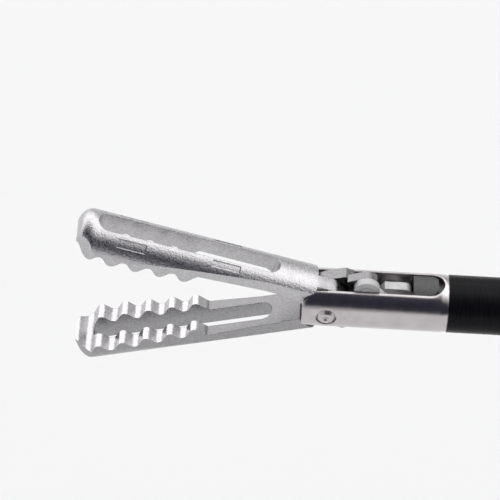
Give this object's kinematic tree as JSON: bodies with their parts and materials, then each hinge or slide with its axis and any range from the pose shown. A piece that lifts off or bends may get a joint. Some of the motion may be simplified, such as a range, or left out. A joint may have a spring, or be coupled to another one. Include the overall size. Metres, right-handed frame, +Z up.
{
  "type": "laparoscopic grasper",
  "caption": "Slim laparoscopic grasper: two wave-toothed fenestrated jaws on a clevis, insulated shaft, rotation knob and ring handle.",
  "frame": {"origin": "on the shaft's axis at the hub's front face, where the insulated shaft comes out", "axes": "-X runs along the shaft to the jaws, +Z up with the handle hanging down, +Y along the jaws' pivot pin"},
  "size_m": [0.4446, 0.024, 0.1135],
  "materials": {
    "jaw_steel": "bead-blasted stainless steel",
    "clevis_steel": "polished stainless steel",
    "link_steel": "satin stainless steel",
    "guide_dark": "dark moulded insert",
    "insulation": "black insulating sleeve",
    "tube_steel": "drawn stainless tube",
    "hub_plastic": "black moulded plastic",
    "port_steel": "polished steel fitting",
    "knob_plastic": "black moulded plastic",
    "handle_plastic": "fine matt moulded plastic",
    "ring_plastic": "smooth moulded plastic",
    "fastener_steel": "satin steel"
  },
  "bodies": {
    "handle": {"handle_near_shell": "handle_plastic", "handle_far_shell": "handle_plastic", "shell_screw_1": "fastener_steel", "shell_screw_2": "fastener_steel", "shell_screw_3": "fastener_steel", "finger_ring": "ring_plastic", "lever_pivot_pin": "fastener_steel", "lever_pin_near_cap": "fastener_steel", "lever_pin_far_cap": "fastener_steel", "hf_post": "port_steel"},
    "shaft": {"sheath_hub": "hub_plastic", "flush_port": "port_steel", "rotation_knob": "knob_plastic", "spindle_collar": "fastener_steel", "outer_tube": "tube_steel", "insulation_sleeve": "insulation", "jaw_clevis": "clevis_steel", "jaw_pivot_pin": "clevis_steel", "rod_guide": "guide_dark"},
    "rod": {"rod_tang": "link_steel", "drive_rod": "tube_steel", "rod_ball": "fastener_steel"},
    "upper_jaw": {"upper_jaw": "jaw_steel", "upper_link_pin": "link_steel"},
    "far_link": {"far_link": "link_steel"},
    "lower_jaw": {"lower_jaw": "jaw_steel", "lower_link_pin": "link_steel"},
    "near_link": {"near_link": "link_steel", "rod_link_pin": "link_steel"},
    "thumb_lever": {"thumb_lever": "handle_plastic"}
  },
  "joints": [
    {"name": "thumb_squeeze", "type": "hinge", "parent": "handle", "child": "thumb_lever", "pos_m": [0.06, 0, -0.008], "axis": [0, 1, 0], "range_deg": [-4.91, 9.52]},
    {"name": "shaft_turn", "type": "hinge", "parent": "handle", "child": "shaft", "pos_m": [0, 0, 0], "axis": [1, 0, 0], "continuous": true},
    {"name": "rod_slide", "type": "slide", "parent": "shaft", "child": "rod", "axis": [1, 0, 0], "range_m": [-0.0007, 0.00134]},
    {"name": "upper_jaw_hinge", "type": "hinge", "parent": "shaft", "child": "upper_jaw", "pos_m": [-0.31045, 0, 0], "axis": [0, 1, 0], "range_deg": [-16.51, 8.51]},
    {"name": "lower_jaw_hinge", "type": "hinge", "parent": "shaft", "child": "lower_jaw", "pos_m": [-0.31045, 0, 0], "axis": [0, 1, 0], "range_deg": [-8.51, 16.51]},
    {"name": "near_link_hinge", "type": "hinge", "parent": "lower_jaw", "child": "near_link", "pos_m": [-0.3071, 0, 0.00211], "axis": [0, 1, 0], "range_deg": [-40.5, 20.9]},
    {"name": "far_link_hinge", "type": "hinge", "parent": "upper_jaw", "child": "far_link", "pos_m": [-0.3071, 0, -0.00211], "axis": [0, 1, 0], "range_deg": [-20.9, 40.5]}
  ],
  "couplings": [
    {"joint": "rod_slide", "follows": "thumb_squeeze", "m_per_rad": 0.008},
    {"joint": "upper_jaw_hinge", "follows": "thumb_squeeze", "ratio": -1.7323},
    {"joint": "lower_jaw_hinge", "follows": "thumb_squeeze", "ratio": 1.7323},
    {"joint": "near_link_hinge", "follows": "thumb_squeeze", "ratio": -4.2442},
    {"joint": "far_link_hinge", "follows": "thumb_squeeze", "ratio": 4.2442}
  ]
}
